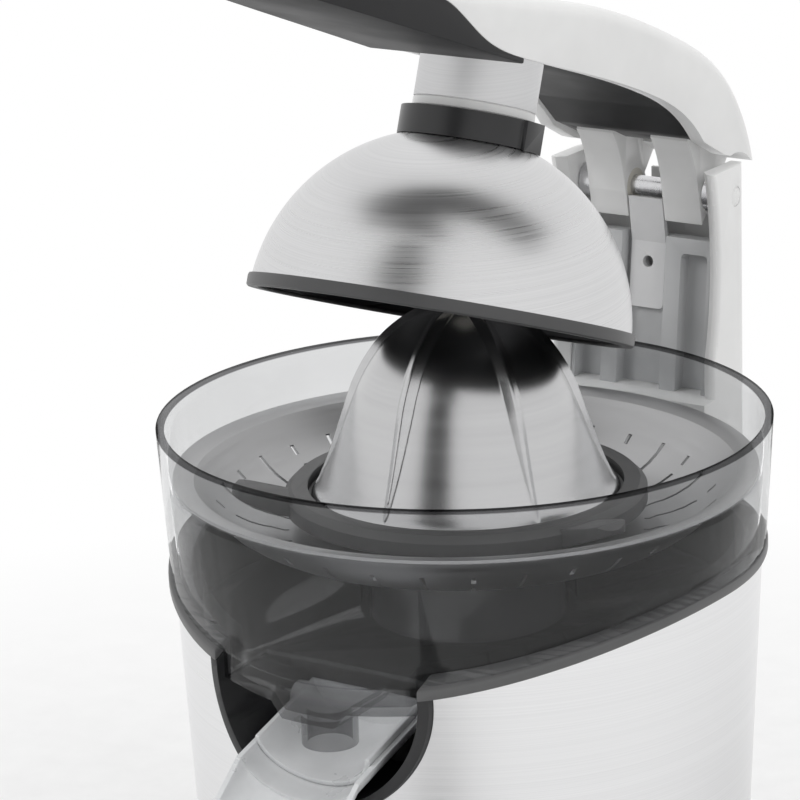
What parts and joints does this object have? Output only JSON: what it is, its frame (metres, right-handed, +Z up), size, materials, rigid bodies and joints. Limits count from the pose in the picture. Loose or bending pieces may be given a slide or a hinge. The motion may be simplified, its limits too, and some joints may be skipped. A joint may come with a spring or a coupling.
{
  "type": "electric citrus press",
  "caption": "Electric citrus press with a hinged lever arm and dome, ribbed cone, slotted strainer, clear bowl and a pouring spout in a brushed steel body.",
  "frame": {"origin": "on the table under the cone's axis, which is the middle of the bounding box at its bottom", "axes": "+Z up along the cone, +Y to the rear where the pillar stands, -Y to the front with the spout, +X to the right seen from the front"},
  "size_m": [0.186, 0.2651, 0.3816],
  "materials": {
    "clear_plastic": "clear, slightly smoky, polished",
    "white_plastic": "smooth satin white",
    "panel_grey": "satin light grey",
    "dark_plastic": "fine matt dark grey",
    "black_plastic": "satin black",
    "brushed_steel": "brushed stainless",
    "polished_steel": "polished stainless",
    "strainer_steel": "satin stainless",
    "bright_steel": "bright zinc",
    "frosted_grey": "frosted light grey",
    "nylon": "natural moulded",
    "bearing_brass": "sintered",
    "motor_can": "plated can",
    "rubber": "matt black rubber"
  },
  "bodies": {
    "base": {"bowl": "clear_plastic", "strainer": "strainer_steel", "top_deck": "dark_plastic", "body_sleeve": "brushed_steel", "niche_liner": "dark_plastic", "pillar_shell": "white_plastic", "pillar_panel": "panel_grey", "hinge_bracket": "bright_steel", "hinge_pin": "bright_steel", "hinge_spacers": "bright_steel", "base_plate": "dark_plastic", "base_screws": "bright_steel", "rubber_feet": "rubber", "cord_gland": "rubber", "shaft_bushings": "bearing_brass", "shaft_seal": "rubber", "idler_axle": "bright_steel", "motor": "motor_can", "gearbox_plate": "nylon", "gearbox_cover": "nylon", "gearbox_screws": "bright_steel", "motor_screws": "bright_steel", "return_spring": "bright_steel", "start_switch": "black_plastic", "spout_pins": "bright_steel"},
    "arm": {"arm_shell": "white_plastic", "arm_underside": "dark_plastic", "hinge_bushes": "nylon", "dome_sleeve": "brushed_steel", "spacer_ring": "white_plastic", "dome_stem": "nylon"},
    "press_dome": {"dome": "brushed_steel", "dome_ring": "dark_plastic", "dome_collar": "black_plastic"},
    "press_carriage": {"thrust_cup": "nylon"},
    "drive": {"cone": "polished_steel", "cone_core": "black_plastic", "scraper_ring": "dark_plastic", "drive_shaft": "bright_steel", "output_gear": "nylon"},
    "idler": {"idler_gear": "nylon"},
    "rotor": {"motor_pinion": "bearing_brass", "motor_rotor": "bright_steel"},
    "button": {"switch_button": "black_plastic"},
    "spout": {"spout_nose": "frosted_grey", "spout_tray": "frosted_grey"}
  },
  "joints": [
    {"name": "arm_lift", "type": "hinge", "parent": "base", "child": "arm", "pos_m": [0, 0.117, 0.2596], "axis": [-1, 0, 0], "range_deg": [-20.37, 40]},
    {"name": "dome_twist", "type": "hinge", "parent": "arm", "child": "press_dome", "pos_m": [0, -0.012, 0.2483], "axis": [0, 0.3481, 0.9375], "range_deg": [0, 30]},
    {"name": "cone_press", "type": "slide", "parent": "base", "child": "press_carriage", "axis": [0, 0, -1], "range_m": [0, 0.0012], "stiffness_N_per_m": 1000, "springref_m": -0.01, "deforming": ["return_spring"]},
    {"name": "cone_spin", "type": "hinge", "parent": "press_carriage", "child": "drive", "pos_m": [0, 0, 0.2], "axis": [0, 0, 1], "continuous": true},
    {"name": "idler_spin", "type": "hinge", "parent": "base", "child": "idler", "pos_m": [0.04525, 0, 0.09], "axis": [0, 0, 1], "continuous": true},
    {"name": "motor_spin", "type": "hinge", "parent": "base", "child": "rotor", "pos_m": [0.03062, 0.02533, 0.09], "axis": [0, 0, 1], "continuous": true},
    {"name": "button_press", "type": "slide", "parent": "base", "child": "button", "axis": [0, 0, -1], "range_m": [0, 0.0012]},
    {"name": "spout_flip", "type": "hinge", "parent": "base", "child": "spout", "pos_m": [0, -0.058, 0.14], "axis": [-1, 0, 0], "range_deg": [0, 12]}
  ],
  "couplings": [
    {"joint": "idler_spin", "follows": "cone_spin", "ratio": -5},
    {"joint": "motor_spin", "follows": "cone_spin", "ratio": 24},
    {"joint": "button_press", "follows": "cone_press", "ratio": 1}
  ]
}
